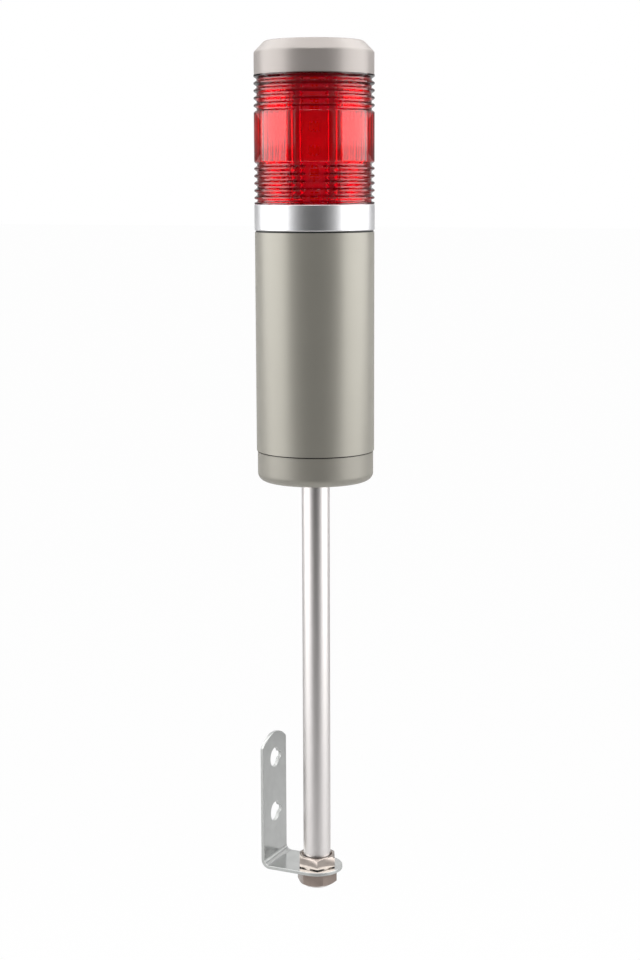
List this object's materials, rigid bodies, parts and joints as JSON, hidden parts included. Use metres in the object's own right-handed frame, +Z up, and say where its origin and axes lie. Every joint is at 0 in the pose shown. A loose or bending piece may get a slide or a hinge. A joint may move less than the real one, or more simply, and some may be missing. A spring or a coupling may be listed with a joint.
{
  "type": "stack light",
  "caption": "Red signal light with a ribbed lens on a grey tube housing, held up by a slim pole with hexagon nuts and a folded L bracket.",
  "frame": {"origin": "on the pole's axis at its lower end, where the cable bore opens", "axes": "+Z up the pole to the cap, +Y from the pole's axis to the wall that the bracket is screwed to, +X to the right as seen when looking at the wall"},
  "size_m": [0.0502, 0.0502, 0.3643],
  "materials": {
    "cap_grey": "moulded, slight sheen",
    "lens_red": "clear red, glossy",
    "ring_silver": "bright, slightly brushed",
    "seal_rubber": "plain",
    "housing_grey": "moulded, satin",
    "pole_satin": "satin, clear anodised",
    "zinc_plate": "zinc plated",
    "nut_nickel": "nickel plated",
    "screw_steel": "zinc plated",
    "board_green": "solder mask",
    "can_sleeve": "shrunk sleeve",
    "part_black": "moulded",
    "terminal_green": "moulded",
    "pin_brass": "tinned ends",
    "inner_white": "moulded",
    "board_white": "white solder mask",
    "led_amber": "resin over the chip"
  },
  "bodies": {
    "bracket": {"bracket": "zinc_plate"},
    "mast": {"lower_bracket_nut": "nut_nickel", "upper_bracket_nut": "nut_nickel", "pole": "pole_satin", "pole_lock_washer": "screw_steel", "pole_lock_nut": "nut_nickel", "base_cup": "housing_grey", "base_screws": "screw_steel", "base_seal": "seal_rubber", "housing": "housing_grey", "ring_seal": "seal_rubber", "driver_board": "board_green", "board_capacitors": "can_sleeve", "board_coil": "part_black", "board_chips": "part_black", "terminal_block": "terminal_green", "terminal_screws": "screw_steel", "contact_block": "part_black", "contact_pins": "pin_brass", "trim_ring": "ring_silver", "lamp_base": "inner_white", "lamp_base_screws": "screw_steel", "led_post": "inner_white", "post_screws": "screw_steel", "led_boards": "board_white", "leds": "led_amber", "lens_seal": "seal_rubber"},
    "head": {"red_lens": "lens_red", "cap_seal": "seal_rubber", "top_cap": "cap_grey"}
  },
  "joints": [
    {"name": "pole_swivel", "type": "hinge", "parent": "bracket", "child": "mast", "pos_m": [0, 0, 0], "axis": [0, 0, 1], "continuous": true},
    {"name": "lens_twist", "type": "hinge", "parent": "mast", "child": "head", "pos_m": [0, 0, 0.2981], "axis": [0, 0, 1], "range_deg": [0, 20]}
  ]
}
